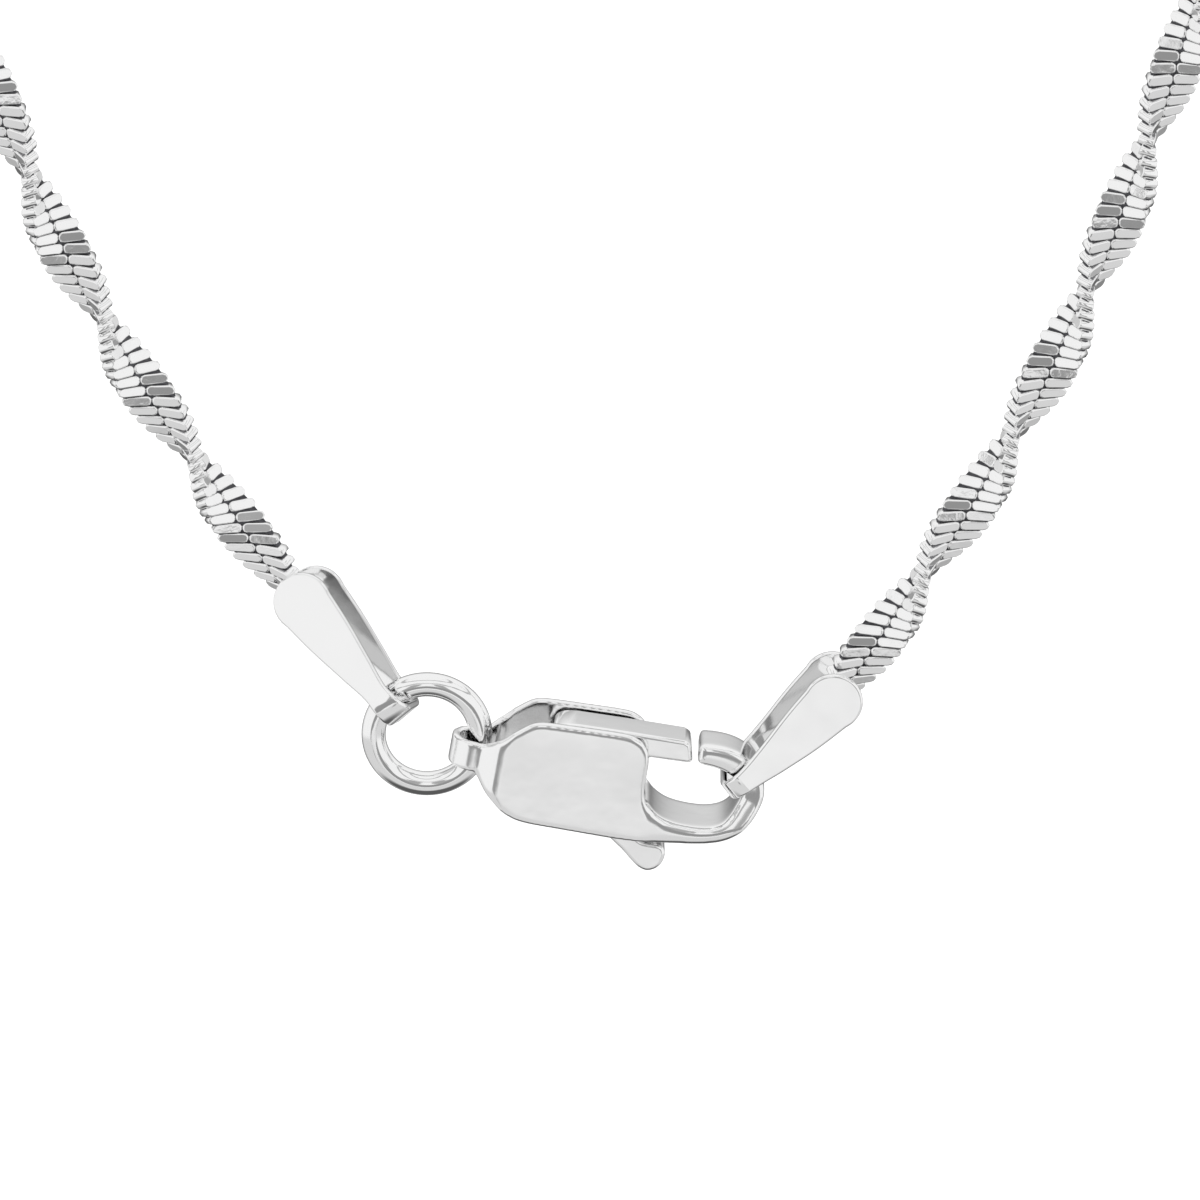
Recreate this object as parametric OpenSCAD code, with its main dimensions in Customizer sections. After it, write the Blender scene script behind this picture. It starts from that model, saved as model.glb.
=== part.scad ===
// Fine silver twisted ribbon necklace, fastened and hanging from the top of its loop.
// X is to the viewer's right, Z is up, -Y faces the viewer; the origin is under the top of the loop.

/* [Necklace] */
// Length of the fastened necklace along its middle line
necklace_length = 457; // [420:1:600]
// Length along each side that hangs in the measured curve before the side runs straight
curve_length = 80; // [70:1:90]

/* [Twisted ribbon] */
// Width of the ribbon across its two columns of bars
ribbon_w = 1.52; // [1.3:0.01:1.54]
// Thickness of the ribbon
ribbon_t = 0.5; // [0.4:0.01:0.52]
// Length over which the ribbon makes half a turn
half_turn = 5.45; // [5:0.05:6.5]
// Distance from the left end of the chain to its first edge-on place
left_first_edge = 5.92; // [5.8:0.01:6.1]
// Distance from the right end of the chain to its first edge-on place
right_first_edge = 5.2; // [5:0.01:5.5]

/* [End tabs] */
// Radius of the round end that holds the chain
tab_r = 0.93; // [0.85:0.01:1]
// Thickness of the folded sheet
tab_t = 0.22; // [0.18:0.01:0.24]
// Half the outside depth at the chain
tab_mouth_y = 1.02; // [1.01:0.01:1.1]
// Half the outside depth at the fold
tab_fold_y = 1.19; // [1.18:0.01:1.24]
// Inside radius of the fold's corners
tab_fold_r = 0.5; // [0.45:0.01:0.52]
// Distance from the round end's centre to the outside of the left fold
left_tab_reach = 4.73; // [4.71:0.01:4.78]
// Distance from the round end's centre to the outside of the right fold
right_tab_reach = 4.56; // [4.54:0.01:4.6]

/* [Jump ring] */
// Radius of the ring's middle line
ring_r = 1.67; // [1.66:0.005:1.68]
// Radius of the ring's wire
wire_r = 0.38; // [0.34:0.01:0.38]

/* [Clasp body] */
// Outside depth over the two cheeks
body_d = 2.3; // [2.26:0.01:2.4]
// Thickness of the cheeks
cheek_t = 0.28; // [0.22:0.01:0.28]
// Outside radius of the bail that wraps round the jump ring
bail_r = 0.78; // [0.78:0.01:0.8]
// Thickness of the bail's strip
bail_t = 0.25; // [0.2:0.01:0.25]
// Depth of the hook at its tip
tip_d = 1.56; // [1.4:0.01:1.58]

/* [Clasp lever] */
// Depth of the lever
lever_d = 1.3; // [1:0.01:1.4]
// Radius of the lever's bore
bore_r = 0.32; // [0.32:0.01:0.34]
// Radius of the hidden pin
pin_r = 0.28; // [0.26:0.01:0.28]

/* [Hidden] */
$fn = 64;

// Lean of the hanging sides: [distance, left lean, right lean, left side's lean to the back]
lean_table = [
  [0, 37.3, 36, 20], [1.5, 36.6, 35.2, 13], [3.9, 35.2, 33.6, 5], [7, 32.5, 31.4, 0],
  [8.6, 30.9, 30, -1], [14, 25.2, 24.6, -1.2], [18.7, 20.9, 20.2, -1.2],
  [23.6, 18.4, 17.8, -1.2], [32, 15.4, 15.2, -1.2], [45, 12.3, 12.3, -1.2],
  [60, 10, 10, -1.2], [90, 8, 8, -1.2]
];

// Where the two ends of the chain stand inside the tabs: [x, y, z]
left_start = [-9.18, 1.35, -0.86];
right_start = [7.43, 0, -3.41];

// The tabs: [x, y, z, direction of the fold, tip towards the viewer]
left_tab = [-8.9, 1.37, -0.505, -47.75, 20];
right_tab = [7.476, 0, -3.05, 225.2, 0];

// Outline of each tab's plate: [distance from the round end's centre, one side, other side]
left_outline = [
  [0.3, 0.88, -0.88], [1, 0.81, -0.81], [1.6, 0.73, -0.73], [2.2, 0.63, -0.63],
  [2.8, 0.53, -0.53], [3.4, 0.42, -0.42], [3.75, 0.39, -0.39], [4.2, 0.42, -0.42],
  [4.7, 0.46, -0.46], [5.4, 0.47, -0.47]
];
right_outline = [
  [0.3, 0.88, -0.88], [1, 0.81, -0.81], [1.6, 0.73, -0.73], [2.2, 0.62, -0.63],
  [2.8, 0.5, -0.54], [3.4, 0.36, -0.47], [4, 0.24, -0.45], [4.6, 0.16, -0.5],
  [5.4, 0.1, -0.55]
];

// The right fold lies along the hook's arm, turned this far from square
right_skew = -10.1;

// The clasp lies along its own line: [x, z, tilt]
clasp_at = [0, -5.6, -9.8];
ring_at = [-5.335, 0.18];
pivot_at = [-0.9, 0.8];

// Front outline of the cheeks and the bail, in the clasp's frame: [along, across]
cheek_top = [
  [1.9, -0.8], [1.74, -0.55], [1.64, -0.2], [1.61, 0.24], [1.6, 0.82],
  [1.53, 1.12], [1.36, 1.38], [1.1, 1.55], [0.73, 1.63], [-0.6, 1.62],
  [-1.75, 1.59], [-2.08, 1.53], [-2.34, 1.39], [-2.9, 0.93], [-3.5, 0.46],
  [-3.68, 0.42]
];
cheek_bottom = [
  [-3.72, -0.55], [-3.6, -0.72], [-3.4, -1], [-3.15, -1.25], [-2.85, -1.48],
  [-2.55, -1.66], [-2.2, -1.79], [-1.75, -1.85], [-0.7, -1.87], [0.93, -1.89],
  [1.9, -1.86]
];
bail_low = -0.55;
bail_high = 0.42;

// Front outline of the hook, outside then inside: [along, across]
hook_outer = [
  [1.68, -1.87], [2.44, -1.81], [3.64, -1.64], [4.24, -1.48], [4.72, -1.19],
  [5.1, -0.74], [5.33, -0.2], [5.38, 0.2], [5.27, 0.62], [5, 1.03],
  [4.64, 1.33], [4.24, 1.5], [3.7, 1.57], [3.1, 1.54]
];
hook_inner = [
  [3.1, 0.88], [3.5, 0.85], [3.95, 0.78], [4.36, 0.58], [4.6, 0.3],
  [4.66, 0.02], [4.56, -0.24], [4.42, -0.58], [4.2, -0.88], [3.9, -1.03], [3.5, -1.1],
  [3, -1.1], [2.6, -1.05], [2.28, -0.94], [2, -0.76], [1.82, -0.56], [1.68, -0.56]
];

// Front outline of the lever: [along, across]
lever_tongue = [
  [-1.45, 1.3], [-1.2, 1.48], [-0.8, 1.53], [0.8, 1.55], [2.62, 1.55],
  [2.82, 1.46], [2.96, 0.95], [2.9, 0.84], [1.62, 0.82]
];
lever_thumb = [
  [1.46, 0.6], [1.44, -0.4], [1.46, -1.2], [1.56, -1.72], [1.85, -2.02],
  [2.45, -2.06], [2.64, -2.28], [2.62, -2.6], [2.44, -2.86], [2.16, -2.97],
  [1.88, -2.88], [1.62, -2.68], [1.3, -2.4], [0.97, -2.16], [0.6, -1.85],
  [0.2, -1.2], [-0.3, -0.3], [-1, 0.1], [-1.5, 0.55], [-1.58, 0.95]
];

silver = [0.86, 0.86, 0.88];
bright = [0.93, 0.93, 0.94];

// Stations of the ribbon in half a turn
steps_per_half_turn = 10;

// One column of the table, at a distance along the side
function column(k, s) = lookup(s, [for (r = lean_table) [r[0], r[k]]]);
function lean(sg, s) = column(sg < 0 ? 1 : 2, min(s, curve_length));
function back(sg, s) = sg < 0 ? column(3, s) : 0;

// The straight part's lean and the ends of the two curved parts
end_lean = column(1, curve_length);
curve_steps = round(curve_length / half_turn * steps_per_half_turn);
curve_step = curve_length / curve_steps;

// Along the ribbon, across it in the hanging plane, and through it to the back
function heading(sg, a, b) = [sg * sin(a) * cos(b), sin(b), cos(a) * cos(b)];
function across(sg, a) = [cos(a), 0, -sg * sin(a)];
function through(sg, a, b) = [-sg * sin(a) * sin(b), cos(b), -cos(a) * sin(b)];

// Middle line of the curved part, summed step by step
function curve_points(sg, start) = [
  for (i = 0, p = start; i <= curve_steps;
       p = p + curve_step * heading(
         sg, lean(sg, (i + 0.5) * curve_step), back(sg, (i + 0.5) * curve_step)),
       i = i + 1) p
];

left_curve = curve_points(-1, left_start);
right_curve = curve_points(1, right_start);
left_end = left_curve[curve_steps];
right_end = right_curve[curve_steps];

// The fittings between the two ends of the chain take this much of the length
fittings_length = 21.5;
sides_length = necklace_length - fittings_length;
span = right_end[0] - left_end[0];

// Radius of the plain arc at the top that closes the loop at the full length
top_r = (sides_length - 2 * curve_length + span / sin(end_lean))
  / (2 * cos(end_lean) / sin(end_lean) + PI + 2 * end_lean * PI / 180);
top_x = (left_end[0] + right_end[0]) / 2
  + (left_end[2] - right_end[2]) * tan(end_lean) / 2;

function straight_length(sg, end) =
  (top_r * cos(end_lean) - sg * (end[0] - top_x)) / sin(end_lean);
function arc_length() = top_r * (90 + end_lean) * PI / 180;
function side_length(sg, end) = curve_length + straight_length(sg, end) + arc_length();

top_z = right_end[2] + straight_length(1, right_end) * cos(end_lean)
  + top_r * sin(end_lean) + top_r;
hang = [top_x, 0, top_z - ribbon_w / 2];

// Twist of the ribbon at a distance along a side; both sides reach the top face on
edge_lead = 11;
function turn_rate(first, total) =
  (180 * round((180 / half_turn * (total - first) - 90 + edge_lead) / 180) + 90 - edge_lead)
  / (total - first);
function twist(sg, s, first, total) =
  90 - sg * edge_lead - sg * turn_rate(first, total) * (s - first);

// Stations of one side: [distance, middle point, lean, lean to the back]
function stations(sg, points, end) =
  let (
    run = straight_length(sg, end),
    arc = arc_length(),
    n2 = round(run / half_turn * steps_per_half_turn),
    n3 = round(arc / half_turn * steps_per_half_turn),
    mid = [top_x, 0, top_z - top_r]
  )
  concat(
    [for (i = [0:curve_steps])
      let (s = i * curve_step)
      [s, points[i], lean(sg, s), back(sg, s)]],
    [for (i = [1:n2])
      let (p = end + run * i / n2 * heading(sg, end_lean, 0))
      [curve_length + run * i / n2, [p[0], end[1] * (1 - i / n2), p[2]], end_lean, 0]],
    [for (i = [1:n3])
      let (a = end_lean - (90 + end_lean) * i / n3)
      [curve_length + run + arc * i / n3,
       mid + top_r * [sg * cos(a), 0, -sin(a)],
       a, 0]]
  );

// The ribbon's section: [part of its width, part of its thickness]
section = [[0.5, 0], [0.39, 0.5], [-0.39, 0.5], [-0.5, 0], [-0.39, -0.5], [0.39, -0.5]];

function ribbon_ring(sg, station, first, total) =
  let (
    f = twist(sg, station[0], first, total),
    n = across(sg, station[2]),
    b = through(sg, station[2], station[3]),
    w = cos(f) * n + sin(f) * b,
    m = -sin(f) * n + cos(f) * b
  )
  [for (c = section) station[1] + c[0] * ribbon_w * w + c[1] * ribbon_t * m];

module ribbon(sg, points, end, first) {
  rows = stations(sg, points, end);
  total = side_length(sg, end);
  k = len(section);
  rings = [for (r = rows) each ribbon_ring(sg, r, first, total)];
  sides = [
    for (i = [0:len(rows) - 2], j = [0:k - 1])
      let (a = i * k + j, b = i * k + (j + 1) % k)
      each (i + j) % 2 == 0
        ? [[a, a + k, b + k], [a, b + k, b]]
        : [[a, a + k, b], [b, a + k, b + k]]
  ];
  top = (len(rows) - 1) * k;
  ends = [[for (j = [0:k - 1]) j], [for (j = [k - 1:-1:0]) top + j]];
  polyhedron(points = rings, faces = concat(sides, ends), convexity = 20);
}

// A smooth line through the points of a table, four steps between two of them
function blend(a, b, c, d, t) =
  0.5 * (2 * b + (c - a) * t + (2 * a - 5 * b + 4 * c - d) * t * t
    + (3 * b - a - 3 * c + d) * t * t * t);
function smooth(table, n = 4) = [
  for (i = [0:len(table) - 2], j = [0:n - 1])
    blend(table[max(i - 1, 0)], table[i], table[i + 1],
      table[min(i + 2, len(table) - 1)], j / n),
  table[len(table) - 1]
];

module upright(depth) {
  rotate([90, 0, 0])
    linear_extrude(height = depth, center = true)
      children();
}

module in_clasp() {
  translate([clasp_at[0], 0, clasp_at[1]])
    rotate([0, -clasp_at[2], 0])
      children();
}

// One plate's outline, seen from the front, with the fold towards +X
module tab_plan(reach, outline, skew) {
  edge = smooth(outline);
  last = len(edge) - 1;
  intersection() {
    polygon(concat(
      [for (a = [285:-10.5:75]) tab_r * [cos(a), sin(a)]],
      [for (r = edge) [r[0], r[1]]],
      [for (i = [last:-1:0]) [edge[i][0], edge[i][2]]]
    ));
    rotate(skew)
      translate([-2, -2])
        square([reach + 2, 4]);
  }
}

// The folded sheet, seen along its width: two legs and the fold
module tab_fold(reach) {
  outer = tab_fold_r + tab_t;
  difference() {
    tab_legs(reach, outer, tab_mouth_y, tab_fold_y);
    tab_legs(reach - tab_t, tab_fold_r, tab_mouth_y - tab_t, tab_fold_y - tab_t);
  }
}

module tab_legs(reach, r, mouth, fold) {
  bend = reach - r;
  polygon([[-1.2, -mouth], [bend, -fold], [bend, fold], [-1.2, mouth]]);
  translate([bend - 0.01, -(fold - r)])
    square([r + 0.01, 2 * (fold - r)]);
  for (s = [-1, 1])
    translate([bend, s * (fold - r)])
      circle(r = r);
}

module place_tab(tab) {
  translate([tab[0], tab[1], tab[2]])
    rotate([0, -tab[3], 0])
      rotate([0, 0, -tab[4]])
        children();
}

module end_tab(reach, outline, skew) {
  intersection() {
    upright(4)
      tab_plan(reach, outline, skew);
    rotate([0, -skew, 0])
      linear_extrude(height = 4, center = true)
        tab_fold(reach);
  }
}

// The sheet of the cheeks and the bail, seen from above the clasp
module shell_plan() {
  flat = body_d / 2;
  centre = -4.56 + bail_r;
  difference() {
    union() {
      translate([centre, 0])
        circle(r = bail_r);
      polygon([
        [centre, -bail_r], [-3.6, -bail_r], [-3.1, -flat], [2.2, -flat],
        [2.2, flat], [-3.1, flat], [-3.6, bail_r], [centre, bail_r]
      ]);
    }
    translate([centre, 0])
      circle(r = bail_r - bail_t);
    polygon([
      [centre, -bail_r + bail_t], [-3.5, -bail_r + bail_t], [-3, -flat + cheek_t],
      [3, -flat + cheek_t], [3, flat - cheek_t], [-3, flat - cheek_t],
      [-3.5, bail_r - bail_t], [centre, bail_r - bail_t]
    ]);
  }
}

module cheek_front() {
  polygon(concat(
    smooth(cheek_top),
    [[-5, bail_high], [-5, bail_low]],
    smooth(cheek_bottom)
  ));
}

// The hook's depth, seen along the clasp: full at its root, slimmer towards the tip
module hook_side() {
  flat = body_d / 2;
  tip = tip_d / 2;
  polygon([
    [-flat, -2.2], [flat, -2.2], [flat, -1], [tip + 0.06, -0.1], [tip, 0.3], [tip, 1.7],
    [-tip, 1.7], [-tip, 0.3], [-tip - 0.06, -0.1], [-flat, -1]
  ]);
}

module chain_left() {
  translate(-hang)
    color(silver)
      ribbon(-1, left_curve, left_end, left_first_edge);
}

module chain_right() {
  translate(-hang)
    color(silver)
      ribbon(1, right_curve, right_end, right_first_edge);
}

module end_tab_left() {
  translate(-hang)
    color(bright)
      place_tab(left_tab)
        end_tab(left_tab_reach, left_outline, 0);
}

module end_tab_right() {
  translate(-hang)
    color(bright)
      place_tab(right_tab)
        end_tab(right_tab_reach, right_outline, right_skew);
}

module jump_ring() {
  translate(-hang)
    color(silver)
      in_clasp()
        translate([ring_at[0], 0, ring_at[1]])
          rotate([90, 0, 0])
            rotate_extrude()
              translate([ring_r, 0])
                circle(r = wire_r);
}

module clasp_body() {
  translate(-hang)
    color(bright)
      in_clasp()
        difference() {
          union() {
            intersection() {
              linear_extrude(height = 6, center = true)
                shell_plan();
              upright(4)
                cheek_front();
            }
            intersection() {
              upright(body_d)
                polygon(concat(smooth(hook_outer), smooth(hook_inner)));
              rotate([90, 0, 90])
                linear_extrude(height = 8)
                  hook_side();
            }
          }
          translate([pivot_at[0], 0, pivot_at[1]])
            rotate([90, 0, 0])
              cylinder(r = pin_r + 0.02, h = body_d - 0.3, center = true);
        }
}

module clasp_lever() {
  translate(-hang)
    color(silver)
      in_clasp()
        difference() {
          upright(lever_d)
            polygon(concat(lever_tongue, smooth(lever_thumb)));
          translate([pivot_at[0], 0, pivot_at[1]])
            rotate([90, 0, 0])
              cylinder(r = bore_r, h = lever_d + 1, center = true);
        }
}

module lever_pin() {
  translate(-hang)
    color(silver)
      in_clasp()
        translate([pivot_at[0], 0, pivot_at[1]])
          rotate([90, 0, 0])
            cylinder(r = pin_r, h = body_d - 0.34, center = true);
}

chain_left();
chain_right();
end_tab_left();
end_tab_right();
jump_ring();
clasp_body();
clasp_lever();
lever_pin();
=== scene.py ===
# %% [markdown]
# # A twisted ribbon necklace in polished silver
# The necklace hangs in its loop with the clasp at the bottom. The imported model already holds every
# piece at its real size, so this script loads it as a fixed frame and dresses it: small bars take
# the place of the plain twisted strip, and the fittings get rounded edges and polished metal.

import math

import bmesh
import bpy
import numpy as np
from mathutils import Matrix, Vector


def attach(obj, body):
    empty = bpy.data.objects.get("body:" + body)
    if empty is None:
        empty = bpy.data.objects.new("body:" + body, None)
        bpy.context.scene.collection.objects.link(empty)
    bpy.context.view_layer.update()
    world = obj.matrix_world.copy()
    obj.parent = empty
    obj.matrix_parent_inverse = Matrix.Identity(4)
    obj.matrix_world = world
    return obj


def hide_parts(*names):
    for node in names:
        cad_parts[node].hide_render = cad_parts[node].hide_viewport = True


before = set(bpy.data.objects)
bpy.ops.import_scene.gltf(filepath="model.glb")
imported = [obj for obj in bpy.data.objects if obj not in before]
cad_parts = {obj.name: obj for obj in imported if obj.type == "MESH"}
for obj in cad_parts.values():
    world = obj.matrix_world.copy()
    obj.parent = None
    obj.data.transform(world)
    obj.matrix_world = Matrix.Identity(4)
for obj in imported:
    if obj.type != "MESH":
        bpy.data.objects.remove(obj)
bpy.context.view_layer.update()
MM = 0.001
print("nodes:", sorted(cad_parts))

# %% [markdown]
# ## The line that the chain hangs in
# A chain that hangs from its ends leans more and more towards the fitting at its lowest point. The
# two sides follow a short table of lean angles, then run straight, and one plain arc closes the
# loop at the top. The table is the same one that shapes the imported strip, so the bars lie on it.

# %% Tables of the hanging line
NECKLACE_LENGTH = 457
CURVE_LENGTH = 80
FITTINGS_LENGTH = 21.5
RIBBON_WIDTH = 1.52
HALF_TURN = 5.45
EDGE_LEAD = 11
LEAN_TABLE = [
    # distance, left lean, right lean, left side's lean to the back
    (0, 37.3, 36, 20),
    (1.5, 36.6, 35.2, 13),
    (3.9, 35.2, 33.6, 5),
    (7, 32.5, 31.4, 0),
    (8.6, 30.9, 30, -1),
    (14, 25.2, 24.6, -1.2),
    (18.7, 20.9, 20.2, -1.2),
    (23.6, 18.4, 17.8, -1.2),
    (32, 15.4, 15.2, -1.2),
    (45, 12.3, 12.3, -1.2),
    (60, 10, 10, -1.2),
    (90, 8, 8, -1.2),
]
START = {-1: (-9.18, 1.35, -0.86), 1: (7.43, 0, -3.41)}
FIRST_EDGE = {-1: 5.92, 1: 5.2}


def sin(angle):
    return math.sin(math.radians(angle))


def cos(angle):
    return math.cos(math.radians(angle))


def column(number, distance):
    return float(np.interp(distance, [r[0] for r in LEAN_TABLE], [r[number] for r in LEAN_TABLE]))


def lean(side, distance):
    return column(1 if side < 0 else 2, min(distance, CURVE_LENGTH))


def lean_back(side, distance):
    return column(3, distance) if side < 0 else 0.0


print("lean at the fittings:", lean(-1, 0), "left and", lean(1, 0), "degrees right")


# %% Directions along, across and through the ribbon
def along(side, a, b):
    return Vector((side * sin(a) * cos(b), sin(b), cos(a) * cos(b)))


def across(side, a):
    return Vector((cos(a), 0, -side * sin(a)))


def through(side, a, b):
    return Vector((-side * sin(a) * sin(b), cos(b), -cos(a) * sin(b)))


STEPS_IN_HALF_TURN = 10
CURVE_STEPS = round(CURVE_LENGTH / HALF_TURN * STEPS_IN_HALF_TURN)
CURVE_STEP = CURVE_LENGTH / CURVE_STEPS


def curved_part(side):
    points = [Vector(START[side])]
    for i in range(CURVE_STEPS):
        middle = (i + 0.5) * CURVE_STEP
        step = along(side, lean(side, middle), lean_back(side, middle))
        points.append(points[-1] + step * CURVE_STEP)
    return points


CURVED = {side: curved_part(side) for side in (-1, 1)}
ENDS = {side: CURVED[side][-1] for side in (-1, 1)}
print("curved parts end at", [tuple(round(v, 2) for v in ENDS[s]) for s in (-1, 1)])

# %% [markdown]
# ## Closing the loop
# The straight runs keep the last lean of the table. The arc's radius follows from the length that
# is left, so that the whole necklace measures 457 millimetres round. The loop hangs from the
# underside of its top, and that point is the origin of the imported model.

# %% Straight runs and the arc at the top
END_LEAN = lean(-1, CURVE_LENGTH)
SPAN = ENDS[1].x - ENDS[-1].x
SIDES = NECKLACE_LENGTH - FITTINGS_LENGTH
COT = cos(END_LEAN) / sin(END_LEAN)
TOP_R = (SIDES - 2 * CURVE_LENGTH + SPAN / sin(END_LEAN)) / (
    2 * COT + math.pi + 2 * math.radians(END_LEAN)
)
TOP_X = (ENDS[-1].x + ENDS[1].x) / 2 + (ENDS[-1].z - ENDS[1].z) / COT / 2
ARC_LENGTH = TOP_R * math.radians(90 + END_LEAN)


def run_length(side):
    return (TOP_R * cos(END_LEAN) - side * (ENDS[side].x - TOP_X)) / sin(END_LEAN)


SIDE_LENGTH = {s: CURVE_LENGTH + run_length(s) + ARC_LENGTH for s in (-1, 1)}
TOP_Z = ENDS[1].z + run_length(1) * cos(END_LEAN) + TOP_R * sin(END_LEAN) + TOP_R
HANG = Vector((TOP_X, 0, TOP_Z - RIBBON_WIDTH / 2))
LOOP_LENGTH = sum(SIDE_LENGTH.values()) + FITTINGS_LENGTH
print("loop:", round(LOOP_LENGTH, 1), "mm, arc radius", round(TOP_R, 2))


# %% A place on the line, and a place measured from the clasp
def point_on(side, s):
    """Middle point, lean and lean to the back at a distance from the fitting."""
    run = run_length(side)
    if s <= CURVE_LENGTH:
        i = min(int(s / CURVE_STEP), CURVE_STEPS - 1)
        share = s / CURVE_STEP - i
        return CURVED[side][i].lerp(CURVED[side][i + 1], share), lean(side, s), lean_back(side, s)
    if s <= CURVE_LENGTH + run:
        p = ENDS[side] + along(side, END_LEAN, 0) * (s - CURVE_LENGTH)
        p.y = ENDS[side].y * (1 - (s - CURVE_LENGTH) / run)
        return p, END_LEAN, 0.0
    a = END_LEAN - math.degrees((s - CURVE_LENGTH - run) / TOP_R)
    middle = Vector((TOP_X, 0, TOP_Z - TOP_R))
    return middle + TOP_R * Vector((side * cos(a), 0, -sin(a))), a, 0.0


def from_clasp(x, y, z):
    """A place measured from the clasp, in millimetres, in the frame of the hanging loop."""
    return (Vector((x, y, z)) - HANG) * MM


print("clasp:", [round(v, 4) for v in from_clasp(0, 0, 0)], "m from the hanging point")

# %% [markdown]
# ## Camera
# The picture looks down at the clasp from 22 degrees, from far away through a long lens, so the
# depth of the clasp hardly changes its size. A perspective camera with a very long lens does the
# same. It aims at a point a little above the clasp and takes in 37.5 millimetres of width.

# %% Aim the camera
LOOK_DOWN = math.radians(22)
LENS = 1200
SENSOR = 36
PICTURE_WIDTH = 37.5 * MM
AIM = (0.1875, 0, 0)
NEAR_LIMIT = 0.05
FAR_LIMIT = 10


def aim_camera(target):
    data = bpy.data.cameras.new("camera")
    data.lens = LENS
    data.sensor_width = SENSOR
    distance = PICTURE_WIDTH * LENS / SENSOR
    data.clip_start = NEAR_LIMIT
    data.clip_end = FAR_LIMIT
    camera = bpy.data.objects.new("camera", data)
    bpy.context.scene.collection.objects.link(camera)
    back = Vector((0, -math.cos(LOOK_DOWN), math.sin(LOOK_DOWN)))
    camera.rotation_mode = "QUATERNION"
    camera.location = target + back * distance
    camera.rotation_quaternion = (-back).to_track_quat("-Z", "Y")
    bpy.context.scene.camera = camera
    return distance


bpy.context.scene.view_settings.view_transform = "Standard"
print("camera distance", round(aim_camera(from_clasp(*AIM)), 3), "m")

# %% [markdown]
# ## The twist
# The flat ribbon is twisted about its own middle line, right-handed on the left side and
# left-handed on the right, with half a turn in about 5.5 millimetres. Near the clasp the rows of
# bars stay level while the ribbon leans, like a stack of slats that slides sideways. Round the top
# they lie square to the ribbon. A helper gives the place and directions of a row as one matrix.

# %% How fast the ribbon turns
LEVEL_UNTIL = 40
SQUARE_FROM = 78


def turn_rate(side):
    """Degrees in a millimetre, with the whole number of half turns that fits best."""
    first = FIRST_EDGE[side]
    rest = SIDE_LENGTH[side] - first
    half_turns = round((180 / HALF_TURN * rest - 90 + EDGE_LEAD) / 180)
    return (180 * half_turns + 90 - EDGE_LEAD) / rest


def level_share(s):
    """How far the rows keep level: fully near the clasp, not at all round the top."""
    return min(1, max(0, (SQUARE_FROM - s) / (SQUARE_FROM - LEVEL_UNTIL)))


RATE = {side: turn_rate(side) for side in (-1, 1)}
print("half a turn in", round(180 / RATE[-1], 2), "and", round(180 / RATE[1], 2), "mm")

# %% Place and directions of a row
STEEP_ENOUGH = 0.3


def ribbon_frame(side, s):
    """X along a row, Y from row to row, Z through the ribbon, in metres in the loop's frame.

    Level rows are longer than square ones, and their bars narrower by as much.
    """
    p, a, b = point_on(side, s)
    f = 90 - side * EDGE_LEAD - side * RATE[side] * (s - FIRST_EDGE[side])
    n = across(side, a)
    t = through(side, a, b)
    wide = n * cos(f) + t * sin(f)
    thick = t * cos(f) - n * sin(f)
    run = along(side, a, b)
    row = wide - run * (wide.z / run.z) * level_share(s) if run.z > STEEP_ENOUGH else wide
    next_row = thick.cross(row.normalized())
    next_row *= abs(next_row.dot(run))
    matrix = Matrix((row, next_row, thick)).transposed().to_4x4()
    matrix.translation = (p - HANG) * MM
    return matrix


print("first row of the left side at", [round(v, 4) for v in ribbon_frame(-1, 0).translation], "m")

# %% [markdown]
# ## Silver
# Polished silver is nearly all reflection: a metallic surface with a high, neutral colour and low
# roughness. Hand polishing leaves faint waves and hairlines, so noise drives the roughness a little
# and a very shallow bump moves the reflections. Each kind of piece gets its own scale of detail.
# The long walls of the bars and the strip in the gaps are darker and rougher: their colour is painted
# shade for the gaps between the bars.

# %% Polished metal
DARKEST_WAVE = 0.96
SMOOTHEST, ROUGHEST = 0.7, 1.4


def polished(name, colour, rough, wave_size, wave_height):
    material = bpy.data.materials.new(name)
    material.use_nodes = True
    nodes = material.node_tree.nodes
    links = material.node_tree.links
    shader = nodes["Principled BSDF"]
    shader.inputs["Metallic"].default_value = 1
    coords = nodes.new("ShaderNodeTexCoord")

    wave = nodes.new("ShaderNodeTexNoise")
    wave.inputs["Scale"].default_value = 1 / (wave_size * MM)
    wave.inputs["Detail"].default_value = 3
    links.new(coords.outputs["Object"], wave.inputs["Vector"])

    tone = nodes.new("ShaderNodeMix")
    tone.data_type = "RGBA"
    tone.inputs["A"].default_value = (*[c * DARKEST_WAVE for c in colour], 1)
    tone.inputs["B"].default_value = (*colour, 1)
    links.new(wave.outputs["Fac"], tone.inputs["Factor"])
    links.new(tone.outputs["Result"], shader.inputs["Base Color"])

    gloss = nodes.new("ShaderNodeMapRange")
    gloss.inputs["From Min"].default_value = 0.3
    gloss.inputs["From Max"].default_value = 0.7
    gloss.inputs["To Min"].default_value = rough * SMOOTHEST
    gloss.inputs["To Max"].default_value = rough * ROUGHEST
    links.new(wave.outputs["Fac"], gloss.inputs["Value"])
    links.new(gloss.outputs["Result"], shader.inputs["Roughness"])

    bump = nodes.new("ShaderNodeBump")
    bump.inputs["Strength"].default_value = 1
    bump.inputs["Distance"].default_value = wave_height * MM
    links.new(wave.outputs["Fac"], bump.inputs["Height"])
    links.new(bump.outputs["Normal"], shader.inputs["Normal"])
    print("finish", name, "roughness", rough)
    return material


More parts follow.
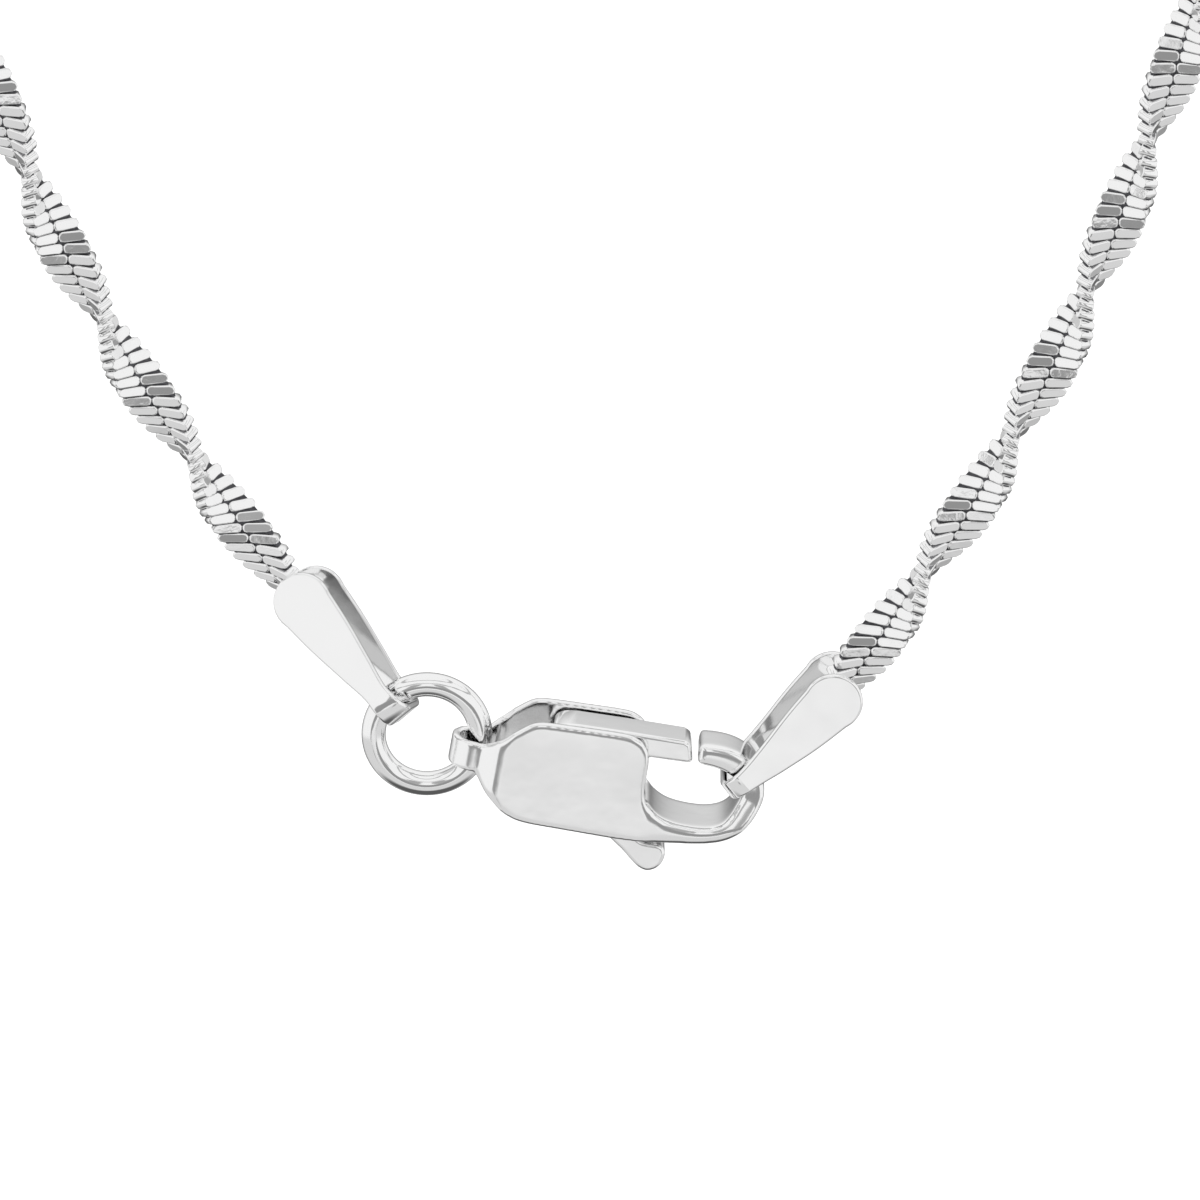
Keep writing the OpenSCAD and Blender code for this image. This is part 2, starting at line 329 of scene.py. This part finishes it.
# %% The six finishes: colour, roughness, size and height of the waves in millimetres
SILVER = (0.96, 0.96, 0.96)
# Painted shade: the dark colour of the strip in the gaps between the bars.
GAP_PAINTED_SHADE = (0.12, 0.12, 0.13)
# Painted shade: the darker colour of the bars' long walls between the rows.
WALL_PAINTED_SHADE = (0.3, 0.3, 0.31)
bar_silver = polished("bar silver", SILVER, 0.07, 0.35, 0.004)
sheet_silver = polished("sheet silver", SILVER, 0.08, 1.2, 0.006)
cast_silver = polished("cast silver", SILVER, 0.11, 2.2, 0.02)
wire_silver = polished("wire silver", SILVER, 0.06, 1.0, 0.006)
# The seam finish is painted shade for the gaps between the bars.
seam_painted_shade = polished("seam painted shade", GAP_PAINTED_SHADE, 0.45, 0.3, 0.01)
# The side finish is painted shade on the long walls of the bars.
wall_painted_shade = polished("wall painted shade", WALL_PAINTED_SHADE, 0.4, 0.3, 0.008)

# %% [markdown]
# ## Fine lines in the metal
# Wire that is drawn through a die, and castings that are brushed, keep fine lines that run one way.
# A second noise, stretched along the lines, feeds a second bump on top of the waves. The ring's
# lines run round it, so its coordinates are turned into a distance from its axis and a height.

# %% Where the clasp and the ring lie
CLASP_TILT = -9.8
CLASP_DROP = 5.6
RING_OFFSET = (-5.335, 0, 0.18)


def clasp_place():
    tilt = Matrix.Rotation(math.radians(-CLASP_TILT), 4, "Y")
    return Matrix.Translation(from_clasp(0, 0, -CLASP_DROP)) @ tilt


RING_PLACE = (
    clasp_place()
    @ Matrix.Translation(Vector(RING_OFFSET) * MM)
    @ Matrix.Rotation(math.pi / 2, 4, "X")
)
print("ring's middle:", [round(v, 4) for v in RING_PLACE.translation], "m")


# %% A second bump, in coordinates turned to a place
def add_lines(material, vector, height):
    nodes = material.node_tree.nodes
    links = material.node_tree.links
    lines = nodes.new("ShaderNodeTexNoise")
    lines.inputs["Scale"].default_value = 1
    lines.inputs["Detail"].default_value = 2
    links.new(vector, lines.inputs["Vector"])
    waves = next(n for n in nodes if n.bl_idname == "ShaderNodeBump")
    bump = nodes.new("ShaderNodeBump")
    bump.inputs["Strength"].default_value = 1
    bump.inputs["Distance"].default_value = height * MM
    links.new(lines.outputs["Fac"], bump.inputs["Height"])
    links.new(waves.outputs["Normal"], bump.inputs["Normal"])
    links.new(bump.outputs["Normal"], nodes["Principled BSDF"].inputs["Normal"])
    print("lines added to", material.name)


def turned_to(material, place, scale):
    """Object coordinates in the directions of a place, divided by the scale in millimetres."""
    nodes = material.node_tree.nodes
    coords = nodes.new("ShaderNodeTexCoord")
    turn = nodes.new("ShaderNodeMapping")
    turn.vector_type = "TEXTURE"
    turn.inputs["Location"].default_value = place.to_translation()
    turn.inputs["Rotation"].default_value = place.to_euler("XYZ")
    turn.inputs["Scale"].default_value = [size * MM for size in scale]
    material.node_tree.links.new(coords.outputs["Object"], turn.inputs["Vector"])
    return turn.outputs["Vector"]


# %% Lines that run one way, and lines that run round
def straight_lines(material, place, long, wide, height):
    """Lines along the X direction of the place."""
    add_lines(material, turned_to(material, place, (long, wide, wide)), height)


def round_lines(material, place, wide, height):
    """Lines that run round the Z direction of the place."""
    nodes = material.node_tree.nodes
    links = material.node_tree.links
    split = nodes.new("ShaderNodeSeparateXYZ")
    links.new(turned_to(material, place, (wide, wide, wide)), split.inputs["Vector"])
    flat = nodes.new("ShaderNodeCombineXYZ")
    links.new(split.outputs["X"], flat.inputs["X"])
    links.new(split.outputs["Y"], flat.inputs["Y"])
    reach = nodes.new("ShaderNodeVectorMath")
    reach.operation = "LENGTH"
    links.new(flat.outputs["Vector"], reach.inputs[0])
    section = nodes.new("ShaderNodeCombineXYZ")
    links.new(reach.outputs["Value"], section.inputs["X"])
    links.new(split.outputs["Z"], section.inputs["Y"])
    add_lines(material, section.outputs["Vector"], height)


straight_lines(cast_silver, clasp_place(), 2.4, 0.25, 0.0005)
round_lines(wire_silver, RING_PLACE, 0.12, 0.008)

# %% [markdown]
# ## One bar of the chain
# The ribbon is made of small bars in two columns. Each is a flat block with rounded ends and a
# narrow chamfer round both faces. It is thickest at its outer end, so the two columns slope
# towards the middle seam and catch the light one after the other. It could be a box with live
# bevels, but more than a thousand bars a side have to stay light. So a box is made into a wedge
# once, and its upright edges and then its rims are bevelled, which needs only 62 faces.

# %% Sizes of the bar in millimetres
PITCH = 0.39
BAR_INNER = 0.005
BAR_OUTER = 0.785
BAR_WIDTH = 0.374
BAR_LENGTH = BAR_OUTER - BAR_INNER
OUTER_CORNER = 0.17
INNER_CORNER = 0.12
RIM = 0.05
COLUMN_SLOPE = 11
OUTER_THICKNESS = 0.56
INNER_THICKNESS = OUTER_THICKNESS - 2 * BAR_LENGTH * sin(COLUMN_SLOPE) / cos(COLUMN_SLOPE)
print("bar:", round(BAR_LENGTH, 2), "mm long, inner end", round(INNER_THICKNESS, 2), "mm thick")

# %% Model the bar
UPRIGHT_LONGER_THAN = 0.2
BROAD_FACE = 0.9
FLAT_SHADED = 0.96
LONG_WALL = 0.99
# Slots of the bar's finishes: silver faces, then painted shade for the strip and for the long walls.
FACE_SILVER, STRIP_SHADE_SLOT, WALL_SHADE_SLOT = 0, 1, 2


def round_edges(bm, edges, radius, segments):
    bmesh.ops.bevel(
        bm, geom=edges, offset=radius * MM, offset_type="OFFSET", affect="EDGES",
        segments=segments, profile=0.5, material=-1,
    )


def wedge():
    """A box from the seam to the outer end, thinner at the seam."""
    bm = bmesh.new()
    bmesh.ops.create_cube(bm, size=1)
    inner = [v for v in bm.verts if v.co.x < 0]
    bmesh.ops.scale(bm, vec=(1, 1, INNER_THICKNESS / OUTER_THICKNESS), verts=inner)
    bmesh.ops.translate(bm, vec=(0.5, 0, 0), verts=bm.verts)
    bmesh.ops.scale(bm, vec=(BAR_LENGTH * MM, BAR_WIDTH * MM, OUTER_THICKNESS * MM), verts=bm.verts)
    bmesh.ops.translate(bm, vec=(BAR_INNER * MM, 0, 0), verts=bm.verts)
    return bm


def bar_mesh():
    bm = wedge()
    rise = UPRIGHT_LONGER_THAN * MM
    upright = [e for e in bm.edges if abs(e.verts[0].co.z - e.verts[1].co.z) > rise]
    outer = [e for e in upright if e.verts[0].co.x > BAR_LENGTH / 2 * MM]
    inner = [e for e in upright if e not in outer]
    round_edges(bm, outer, OUTER_CORNER, 2)
    round_edges(bm, inner, INNER_CORNER, 2)
    broad = [f for f in bm.faces if abs(f.normal.z) > BROAD_FACE]
    rims = [e for e in bm.edges if any(f in broad for f in e.link_faces)]
    round_edges(bm, rims, RIM, 2)
    bm.normal_update()
    for face in bm.faces:
        face.smooth = abs(face.normal.z) < FLAT_SHADED
        # The long walls get the darker side finish, which is painted shade between the rows of bars.
        face.material_index = WALL_SHADE_SLOT if abs(face.normal.y) > LONG_WALL else FACE_SILVER
    mesh = bpy.data.meshes.new("bar")
    bm.to_mesh(mesh)
    bm.free()
    return mesh


BAR = {1: bar_mesh()}
BAR[-1] = BAR[1].copy()
BAR[-1].transform(Matrix.Rotation(math.pi, 4, "Z"))
print("bar:", len(BAR[1].polygons), "faces")

# %% [markdown]
# ## The rows of bars
# Near the clasp the rows keep an even pitch. Further on the pitch is fitted very slightly, so that
# the last rows of the two sides meet at the top of the loop. An array on a curve could lay them,
# but it would turn every bar with the curve, and here the rows stay level near the clasp. So a
# copy of the bar is placed by the row's own matrix, once for each column.

# %% Lay the bars
# The last row stops half a pitch short of the top, where the two sides meet.
FIRST_ROW = {-1: 0.44, 1: 0.15}
EVEN_ROWS = 100


def row_distances(side):
    near = [FIRST_ROW[side] + row * PITCH for row in range(EVEN_ROWS)]
    rest = SIDE_LENGTH[side] - near[-1]
    more = round(rest / PITCH - 0.5)
    fitted = rest / (more + 0.5)
    return near + [near[-1] + fitted * (row + 1) for row in range(more)]


def lay_bars(bm, side):
    rows = row_distances(side)
    for s in rows:
        place = ribbon_frame(side, s)
        for edge in (-1, 1):
            bar = BAR[edge].copy()
            bar.transform(place)
            bm.from_mesh(bar)
            bpy.data.meshes.remove(bar)
    return len(rows)


print("rows:", [len(row_distances(side)) for side in (-1, 1)])

# %% [markdown]
# ## The dark strip in the gaps
# Light that enters the gaps between the bars is caught there, so the gaps lie in shade. A thin strip
# of dark metal inside the bars is painted shade for them and shows as the fine dark lines. It starts
# as a flat grid that gets its thickness, and is then bent along the ribbon. It lies a little under
# the faces of the bars, and deeper still towards their outer ends.

# %% Bend the strip
STRIP_WIDTH = 1.42
STRIP_DEPTH = 0.1
STRIP_DROP = 0.06
STRIP_STEP = 0.4
STRIP_START = 0.1
STRIP_SHORT = 0.02
BAR_TAPER = (OUTER_THICKNESS - INNER_THICKNESS) / BAR_LENGTH


def half_thickness(x):
    """Half the strip's thickness at a distance from the seam."""
    half = (INNER_THICKNESS + BAR_TAPER * (abs(x) - BAR_INNER)) / 2 - STRIP_DEPTH
    return half - STRIP_DROP * abs(x)


def strip_mesh(side, first, last):
    steps = round((last - first) / STRIP_STEP)
    grid = bmesh.new()
    bmesh.ops.create_grid(grid, x_segments=4, y_segments=steps, size=0.5)
    bmesh.ops.solidify(grid, geom=grid.faces[:], thickness=1)
    bottom = min(vert.co.z for vert in grid.verts)
    for vert in grid.verts:
        x = vert.co.x * STRIP_WIDTH
        z = half_thickness(x) if vert.co.z > bottom + 0.5 else -half_thickness(x)
        s = first + (vert.co.y + 0.5) * (last - first)
        vert.co = ribbon_frame(side, s) @ (Vector((x, 0, z)) * MM)
    bmesh.ops.recalc_face_normals(grid, faces=grid.faces)
    strip = bpy.data.meshes.new("strip")
    grid.to_mesh(strip)
    grid.free()
    return strip


def add_strip(bm, side):
    strip = strip_mesh(side, STRIP_START, SIDE_LENGTH[side] - STRIP_SHORT)
    before = len(bm.faces)
    bm.from_mesh(strip)
    bm.faces.ensure_lookup_table()
    for face in bm.faces[before:]:
        # The strip gets the dark seam finish, which is painted shade in the gaps.
        face.material_index = STRIP_SHADE_SLOT
        face.smooth = True
    bpy.data.meshes.remove(strip)


print("strip: half thickness", round(half_thickness(0), 3), "mm at the seam")


# %% Make the two sides of the chain
def add_piece(name, mesh, materials, body, node):
    """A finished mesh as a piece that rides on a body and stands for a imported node."""
    for material in materials:
        mesh.materials.append(material)
    piece = bpy.data.objects.new(name, mesh)
    bpy.context.scene.collection.objects.link(piece)
    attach(piece, body)
    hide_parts(node)
    mesh.calc_loop_triangles()
    print(name + ":", len(mesh.loop_triangles), "triangles")
    return piece


def chain_side(name, side, node):
    bm = bmesh.new()
    lay_bars(bm, side)
    add_strip(bm, side)
    mesh = bpy.data.meshes.new(name)
    bm.to_mesh(mesh)
    bm.free()
    # The strip's finish and the long walls' finish are painted shade.
    add_piece(name, mesh, [bar_silver, seam_painted_shade, wall_painted_shade], "necklace", node)


chain_side("twisted_bars_left", -1, "chain_left")
chain_side("twisted_bars_right", 1, "chain_right")

# %% [markdown]
# ## The tabs and the lever
# The tabs and the lever are stamped pieces whose edges were tumbled soft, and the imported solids
# have sharp edges. A copy of each is welded and bevelled along its sharp edges, which gives the
# rounded edges that catch the light. The weld also takes away the very shortest edges, whose ends
# a bevel would pull out of place.

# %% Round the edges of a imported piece
LOOSE_WELD = 0.02
STILL_FLAT = 0.5
SHARP = 28
SOFT_SEGMENTS = 4
TAB_ROUND = 0.08
LEVER_ROUND = 0.12


def welded_copy(node, reach):
    """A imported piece's loose triangles, joined where corners lie within the reach."""
    bm = bmesh.new()
    bm.from_mesh(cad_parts[node].data)
    bmesh.ops.remove_doubles(bm, verts=bm.verts, dist=reach * MM)
    return bm


def softened(node, name, body, radius, material):
    bm = welded_copy(node, LOOSE_WELD)
    bmesh.ops.dissolve_limit(
        bm, angle_limit=math.radians(STILL_FLAT), verts=bm.verts, edges=bm.edges,
        use_dissolve_boundaries=False,
    )
    limit = math.radians(SHARP)
    sharp = [e for e in bm.edges if e.is_manifold and e.calc_face_angle() > limit]
    round_edges(bm, sharp, radius, SOFT_SEGMENTS)
    for face in bm.faces:
        face.smooth = True
    mesh = bpy.data.meshes.new(name)
    bm.to_mesh(mesh)
    bm.free()
    piece = add_piece(name, mesh, [material], body, node)
    shading = piece.modifiers.new("even shading", "WEIGHTED_NORMAL")
    shading.keep_sharp = True


softened("end_tab_left", "folded_tab_left", "necklace", TAB_ROUND, sheet_silver)
softened("end_tab_right", "folded_tab_right", "necklace", TAB_ROUND, sheet_silver)

# %% [markdown]
# ## The shell of the clasp
# The cheeks, the bail and the hook are one casting, and every bend in it runs round. A bevel can't
# follow edges that meet at so many angles, so a copy is made into a fine even mesh and relaxed.
# The hook and the bail are rounder than the cheeks and get extra rounds, which fade out towards
# the cheeks so that no step shows.

# %% Extra rounds for the hook and the bail
HOOK_PASSES = 45
HOOK_FROM, HOOK_FADE = 1.75, 0.7
BAIL_PASSES = 60
BAIL_FROM, BAIL_FADE, BAIL_REACH = -2.7, 0.3, 0.8


def relax(bm, verts):
    bmesh.ops.smooth_vert(
        bm, verts=verts, factor=0.5, use_axis_x=True, use_axis_y=True, use_axis_z=True
    )


def relax_ends(mesh):
    """Rounds that start a little further from the cheeks each time."""
    bm = bmesh.new()
    bm.from_mesh(mesh)
    inside = clasp_place().inverted()
    spots = [(vert, (inside @ vert.co).x / MM) for vert in bm.verts]
    for step in range(HOOK_PASSES):
        edge = HOOK_FROM + HOOK_FADE * step / HOOK_PASSES
        relax(bm, [vert for vert, x in spots if x > edge])
    for step in range(BAIL_PASSES):
        edge = BAIL_FROM - BAIL_FADE * step / BAIL_PASSES
        relax(bm, [vert for vert, x in spots if edge - BAIL_REACH < x < edge])
    bm.to_mesh(mesh)
    bm.free()
    print("relaxed", len(spots), "points in", HOOK_PASSES + BAIL_PASSES, "rounds")


# %% A fine even mesh, relaxed until its edges run round
FINE_WELD = 0.002
GRAIN = 0.04
SHELL_PASSES = 32


def fine_mesh(node, name):
    """The remesh needs cells above a tenth of a unit, so the copy is in millimetres for it."""
    bm = welded_copy(node, FINE_WELD)
    bmesh.ops.scale(bm, vec=(1 / MM, 1 / MM, 1 / MM), verts=bm.verts)
    mesh = bpy.data.meshes.new(name)
    bm.to_mesh(mesh)
    bm.free()
    raw = bpy.data.objects.new(name + "_raw", mesh)
    bpy.context.scene.collection.objects.link(raw)
    remesh = raw.modifiers.new("fine mesh", "REMESH")
    remesh.mode = "VOXEL"
    remesh.voxel_size = GRAIN
    smooth = raw.modifiers.new("relax", "SMOOTH")
    smooth.factor = 0.5
    smooth.iterations = SHELL_PASSES
    shape = raw.evaluated_get(bpy.context.evaluated_depsgraph_get())
    mesh = bpy.data.meshes.new_from_object(shape)
    bpy.data.objects.remove(raw)
    mesh.transform(Matrix.Scale(MM, 4))
    mesh.materials.clear()
    return mesh


def melted(node, name, body, material):
    mesh = fine_mesh(node, name)
    relax_ends(mesh)
    for face in mesh.polygons:
        face.use_smooth = True
    add_piece(name, mesh, [material], body, node)


melted("clasp_body", "clasp_shell", "necklace", cast_silver)
softened("clasp_lever", "lever", "lever", LEVER_ROUND, cast_silver)

# %% [markdown]
# ## The jump ring
# A jump ring is round wire bent into a circle. A ready-made torus would do, but a small circle spun
# once round the ring's axis runs the way the wire itself does, and its last circle is merged into
# the first.

# %% Spin the ring
WIRE_RADIUS = 0.38
RING_RADIUS = 1.67
WIRE_SIDES = 32
RING_STEPS = 112
RING_WELD = 0.001


def jump_ring():
    bm = bmesh.new()
    bmesh.ops.create_circle(bm, segments=WIRE_SIDES, radius=WIRE_RADIUS * MM)
    upright = Matrix.Rotation(math.pi / 2, 3, "X")
    bmesh.ops.rotate(bm, verts=bm.verts, cent=(0, 0, 0), matrix=upright)
    bmesh.ops.translate(bm, verts=bm.verts, vec=(RING_RADIUS * MM, 0, 0))
    bmesh.ops.spin(
        bm, geom=bm.verts[:] + bm.edges[:], cent=(0, 0, 0), axis=(0, 0, 1),
        angle=2 * math.pi, steps=RING_STEPS, use_merge=True,
    )
    bmesh.ops.remove_doubles(bm, verts=bm.verts, dist=RING_WELD * MM)
    bmesh.ops.recalc_face_normals(bm, faces=bm.faces)
    bmesh.ops.transform(bm, matrix=RING_PLACE, verts=bm.verts)
    for face in bm.faces:
        face.smooth = True
    mesh = bpy.data.meshes.new("jump_ring_wire")
    bm.to_mesh(mesh)
    bm.free()
    add_piece("jump_ring_wire", mesh, [wire_silver], "necklace", "jump_ring")


jump_ring()

# %% [markdown]
# ## The pin
# The pin is a short piece of drawn wire between the cheeks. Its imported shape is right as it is, so
# it stays and only gets the finish of the wire.

# %% Finish the pin
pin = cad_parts["lever_pin"]
pin.data.materials.clear()
pin.data.materials.append(wire_silver)
print("pin:", pin.data.materials[0].name)

# %% [markdown]
# ## Studio
# Polished metal shows its room, so the room is drawn in the world's light by direction, which is
# easier to place than lamps and cards. The walls are white, pale grey lower down and dark right
# below. The wall behind the necklace is light straight behind it, for light that bounces between
# two facing walls, and dark around that, so every rounded edge ends in a fine grey line. The
# camera itself sees plain white.

# %% Start the room
DEGREES = 180 / math.pi
world = bpy.data.worlds.new("studio")
bpy.context.scene.world = world
world.use_nodes = True
room = world.node_tree
room.nodes.clear()


def reckon(kind, *values):
    """A Math node whose numbers are set on its sockets and whose other values are linked."""
    node = room.nodes.new("ShaderNodeMath")
    node.operation = kind
    for socket, value in zip(node.inputs, values):
        if isinstance(value, (int, float)):
            socket.default_value = value
        else:
            room.links.new(value, socket)
    return node.outputs[0]


def ramp(value, limits, start, end):
    """From one value to another between two limits, without corners."""
    node = room.nodes.new("ShaderNodeMapRange")
    node.interpolation_type = "SMOOTHSTEP"
    room.links.new(value, node.inputs["Value"])
    node.inputs["From Min"].default_value = limits[0]
    node.inputs["From Max"].default_value = limits[1]
    node.inputs["To Min"].default_value = start
    node.inputs["To Max"].default_value = end
    return node.outputs["Result"]


print("room:", world.name)

# %% Directions in the room, in degrees
coords = room.nodes.new("ShaderNodeTexCoord")
split = room.nodes.new("ShaderNodeSeparateXYZ")
room.links.new(coords.outputs["Generated"], split.inputs["Vector"])
height = reckon("MULTIPLY", reckon("ARCSINE", split.outputs["Z"]), DEGREES)
turned = reckon("ARCTAN2", split.outputs["X"], reckon("MULTIPLY", split.outputs["Y"], -1))
sideways = reckon("ABSOLUTE", reckon("MULTIPLY", turned, DEGREES))
level = reckon("MULTIPLY", split.outputs["Y"], math.cos(LOOK_DOWN))
away = reckon("MULTIPLY_ADD", split.outputs["Z"], -math.sin(LOOK_DOWN), level)
off_line = reckon("MULTIPLY", reckon("ARCCOSINE", away), DEGREES)
print("directions: up, sideways from the front, and off the line behind the necklace")

# %% Walls, floor and the wall behind
WHITE_ABOVE = (-26, -19)
FLOOR_BELOW = (-68, -50)
STRAIGHT_BEHIND = (9, 14)
AROUND_THAT = (16, 64)
walls = ramp(height, WHITE_ABOVE, 0.69, 0.93)
below = ramp(height, FLOOR_BELOW, 0.15, 1)
far_wall = reckon("ADD", ramp(off_line, AROUND_THAT, 0.2, 1), ramp(off_line, STRAIGHT_BEHIND, 0.7, 0))
print("walls white above", WHITE_ABOVE[1], "degrees")

# %% [markdown]
# ## Cards and rails
# A dark card lies low in front, and a slim tall one stands at each side of the line of sight. The
# bars catch them as they turn, two or three rows in each half turn, and those rows go dark. The
# card's lower edge drops outwards and has a foot further out, and a small patch lies below it, for
# the rows next to those. Two grey rails run round the room higher up, save at the back, and give
# the rounded pieces their lines.

# %% The low card, the tall cards and the patch
CARD_TOP = (0, 2)
CARD_END = (30, 35)
CARD_DROP = (6, 12)
CARD_EDGE = (-0.5, 0.7)
FOOT_START, FOOT_END = (19.5, 21), (26, 28)
TALL_TOP = (26, 30)
TALL_START, TALL_END = (4, 6), (14, 18)
PATCH_BOTTOM, PATCH_TOP = (-30, -29), (-25.4, -24.8)
PATCH_START, PATCH_END = (12, 13), (17.5, 18.5)

foot = reckon("MULTIPLY", ramp(sideways, FOOT_START, 0, 3.4), ramp(sideways, FOOT_END, 1, 0))
lower_edge = reckon("ADD", ramp(sideways, CARD_DROP, 17.6, 20.4), foot)
above_edge = ramp(reckon("ADD", height, lower_edge), CARD_EDGE, 0, 1)
band = reckon("MULTIPLY", above_edge, ramp(height, CARD_TOP, 1, 0))
low_card = reckon("MULTIPLY", band, ramp(sideways, CARD_END, 1, 0))
tall = reckon("MULTIPLY", above_edge, ramp(height, TALL_TOP, 0.85, 0))
slim = reckon("MULTIPLY", ramp(sideways, TALL_START, 0, 1), ramp(sideways, TALL_END, 1, 0))
both = reckon("MAXIMUM", low_card, reckon("MULTIPLY", tall, slim))
tier = reckon("MULTIPLY", ramp(height, PATCH_BOTTOM, 0, 1), ramp(height, PATCH_TOP, 1, 0))
patch = reckon("MULTIPLY", ramp(sideways, PATCH_START, 0, 0.9), ramp(sideways, PATCH_END, 1, 0))
card = reckon("MAXIMUM", both, reckon("MULTIPLY", tier, patch))
print("cards end", CARD_END[1], "degrees to each side")

# %% The rails
RAIL_BOTTOM, RAIL_TOP = (30, 32), (35, 37)
HIGH_RAIL_BOTTOM, HIGH_RAIL_TOP = (56, 58), (61, 63)
RAIL_END = (120, 135)

rail = reckon("MULTIPLY", ramp(height, RAIL_BOTTOM, 0, 0.5), ramp(height, RAIL_TOP, 1, 0))
high_rail = reckon(
    "MULTIPLY", ramp(height, HIGH_RAIL_BOTTOM, 0, 0.5), ramp(height, HIGH_RAIL_TOP, 1, 0)
)
rails = reckon("MULTIPLY", reckon("ADD", rail, high_rail), ramp(sideways, RAIL_END, 1, 0))
print("rails", RAIL_BOTTOM[0], "and", HIGH_RAIL_BOTTOM[0], "degrees up")

# %% Light the room
CARD_BRIGHTNESS = 0.3

windows = reckon("MULTIPLY", walls, reckon("SUBTRACT", 1, rails))
lit = reckon("MULTIPLY", reckon("MULTIPLY", windows, below), far_wall)
hidden = reckon("MULTIPLY", reckon("SUBTRACT", lit, CARD_BRIGHTNESS), card)
light = room.nodes.new("ShaderNodeBackground")
room.links.new(reckon("SUBTRACT", lit, hidden), light.inputs["Color"])
plain = room.nodes.new("ShaderNodeBackground")
plain.inputs["Color"].default_value = (1, 1, 1, 1)
path = room.nodes.new("ShaderNodeLightPath")
mix = room.nodes.new("ShaderNodeMixShader")
room.links.new(path.outputs["Is Camera Ray"], mix.inputs["Fac"])
room.links.new(light.outputs["Background"], mix.inputs[1])
room.links.new(plain.outputs["Background"], mix.inputs[2])
out = room.nodes.new("ShaderNodeOutputWorld")
room.links.new(mix.outputs["Shader"], out.inputs["Surface"])
print("room lit by", len(room.nodes), "nodes")

# %% [markdown]
# ## Floor
# A plain pale disc lies well below the necklace. It is hidden from the metal, whose reflections
# come from the room alone.

# %% Lay the floor
FLOOR_RADIUS = 3.0
FLOOR_HEIGHT = -0.26
PALE = (0.9, 0.9, 0.9, 1)


def studio_floor():
    bm = bmesh.new()
    bmesh.ops.create_circle(bm, cap_ends=True, segments=96, radius=FLOOR_RADIUS)
    bmesh.ops.translate(bm, verts=bm.verts, vec=(0, 0, FLOOR_HEIGHT))
    mesh = bpy.data.meshes.new("studio_floor")
    bm.to_mesh(mesh)
    bm.free()
    material = bpy.data.materials.new("pale floor")
    material.use_nodes = True
    shader = material.node_tree.nodes["Principled BSDF"]
    shader.inputs["Base Color"].default_value = PALE
    shader.inputs["Roughness"].default_value = 0.9
    shader.inputs["Emission Color"].default_value = (1, 1, 1, 1)
    shader.inputs["Emission Strength"].default_value = 0.4
    mesh.materials.append(material)
    floor = bpy.data.objects.new("studio_floor", mesh)
    bpy.context.scene.collection.objects.link(floor)
    floor.visible_glossy = False
    print("floor:", FLOOR_HEIGHT, "m")


studio_floor()
